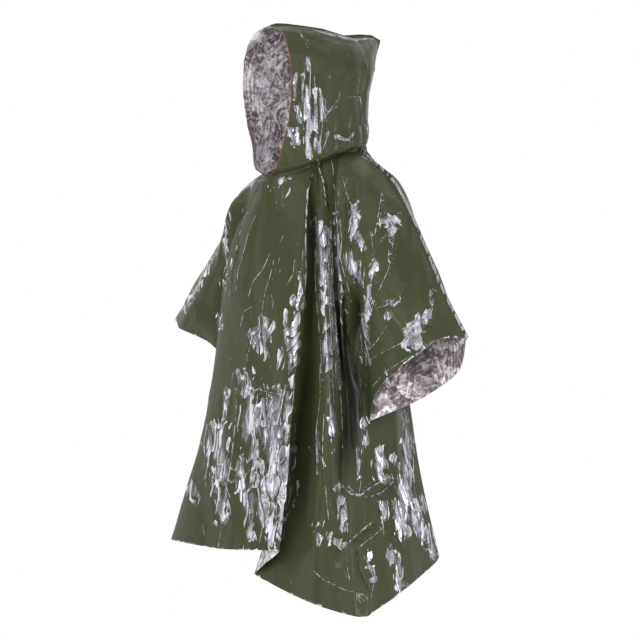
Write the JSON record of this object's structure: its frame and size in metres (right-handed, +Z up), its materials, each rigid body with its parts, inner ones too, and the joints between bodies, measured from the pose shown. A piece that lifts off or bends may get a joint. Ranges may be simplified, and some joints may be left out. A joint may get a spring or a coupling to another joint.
{
  "type": "rain poncho",
  "caption": "Hooded rain poncho of thin sealed film with a metallised lining, filled out as worn, open at the face, cuffs and hem.",
  "frame": {"origin": "middle of the neck, between the shoulders, where the wearer's neck and shoulders hold the poncho up", "axes": "+Z up, the front faces -Y, the wearer's left is +X"},
  "size_m": [0.9115, 0.4536, 1.2853],
  "materials": {
    "film": "gloss"
  },
  "bodies": {
    "root": {"front_panel": "film", "back_panel": "film", "hood_left": "film", "hood_right": "film"}
  },
  "joints": []
}
